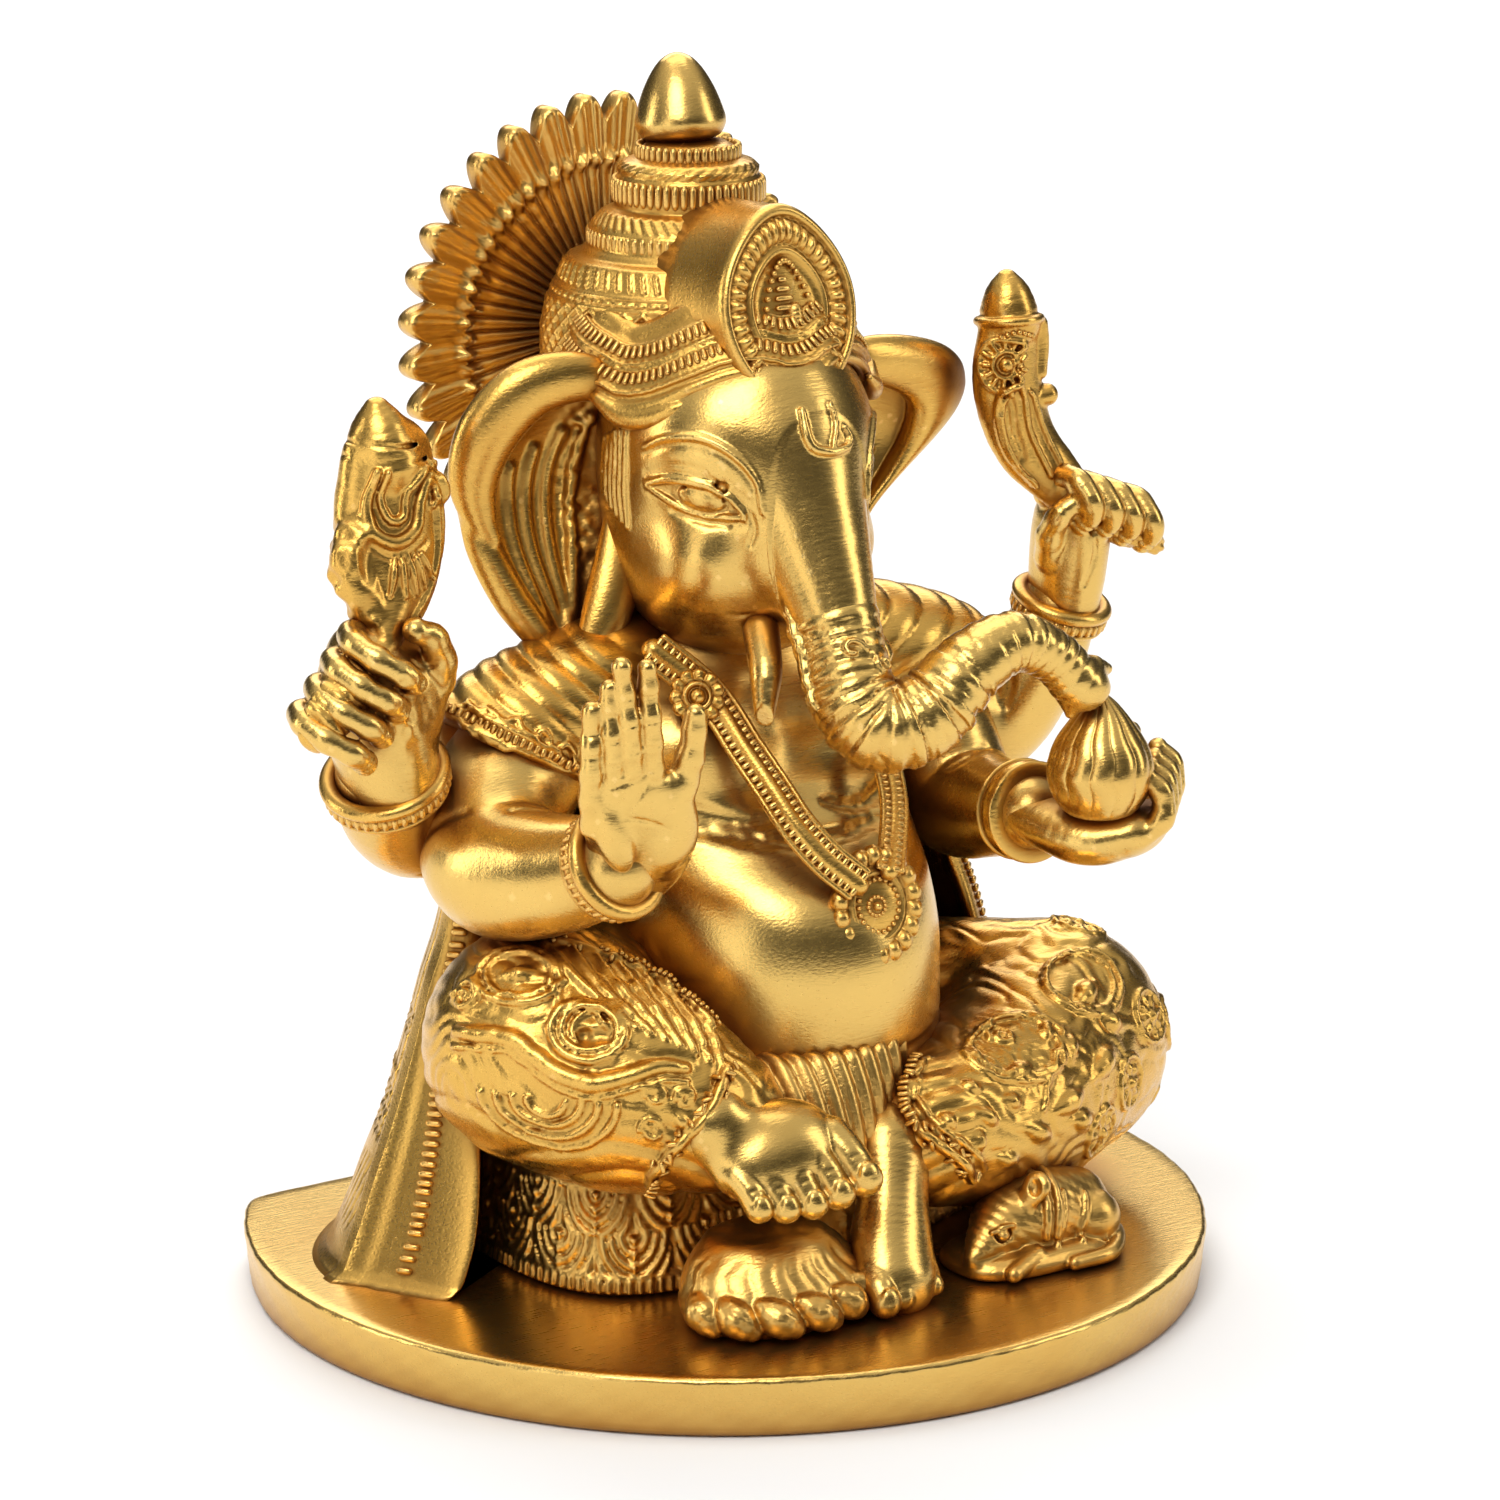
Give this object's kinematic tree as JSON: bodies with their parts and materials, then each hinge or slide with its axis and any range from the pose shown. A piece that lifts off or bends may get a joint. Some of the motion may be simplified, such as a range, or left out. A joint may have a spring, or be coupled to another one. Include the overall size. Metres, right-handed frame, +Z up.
{
  "type": "deity figurine",
  "caption": "Seated four-armed elephant-headed deity cast in polished brass, with halo, tiered crown, cape, jewellery, attendant mouse and lotus footrest on a drafted base plate.",
  "frame": {"origin": "on the table under the figure's lap, where the two ribs under the base plate cross", "axes": "+Z up, the figure faces -Y, +X is the figure's left-hand side (viewer's right)"},
  "size_m": [0.1679, 0.1305, 0.2042],
  "materials": {
    "polished_brass": "polished, faint brushing",
    "relief_brass": "relief with amber antiquing in the hollows",
    "antiqued_brass": "dark antiqued hollows, rubbed highlights"
  },
  "bodies": {
    "root": {"base_plate": "polished_brass", "seat": "antiqued_brass", "seat_cloth": "antiqued_brass", "cape": "relief_brass", "torso": "polished_brass", "shawl": "relief_brass", "right_leg": "relief_brass", "left_leg": "relief_brass", "waist_sash": "antiqued_brass", "right_foot": "polished_brass", "left_foot": "polished_brass", "foot_rest": "antiqued_brass", "mouse": "antiqued_brass", "head": "polished_brass", "trunk": "polished_brass", "right_tusk": "polished_brass", "left_tusk": "polished_brass", "right_ear": "relief_brass", "left_ear": "relief_brass", "crown": "relief_brass", "crown_plaque": "relief_brass", "finial": "polished_brass", "halo": "antiqued_brass", "right_front_arm": "polished_brass", "right_front_hand": "polished_brass", "right_front_bracelet": "relief_brass", "right_rear_arm": "polished_brass", "right_rear_hand": "polished_brass", "right_rear_bracelet": "relief_brass", "goad": "relief_brass", "left_front_arm": "polished_brass", "left_front_hand": "polished_brass", "left_front_bracelet": "relief_brass", "sweet": "polished_brass", "left_rear_arm": "polished_brass", "left_rear_hand": "polished_brass", "left_rear_bracelet": "relief_brass", "noose": "relief_brass", "necklace": "relief_brass", "rosette": "relief_brass", "pendant": "relief_brass"}
  },
  "joints": []
}
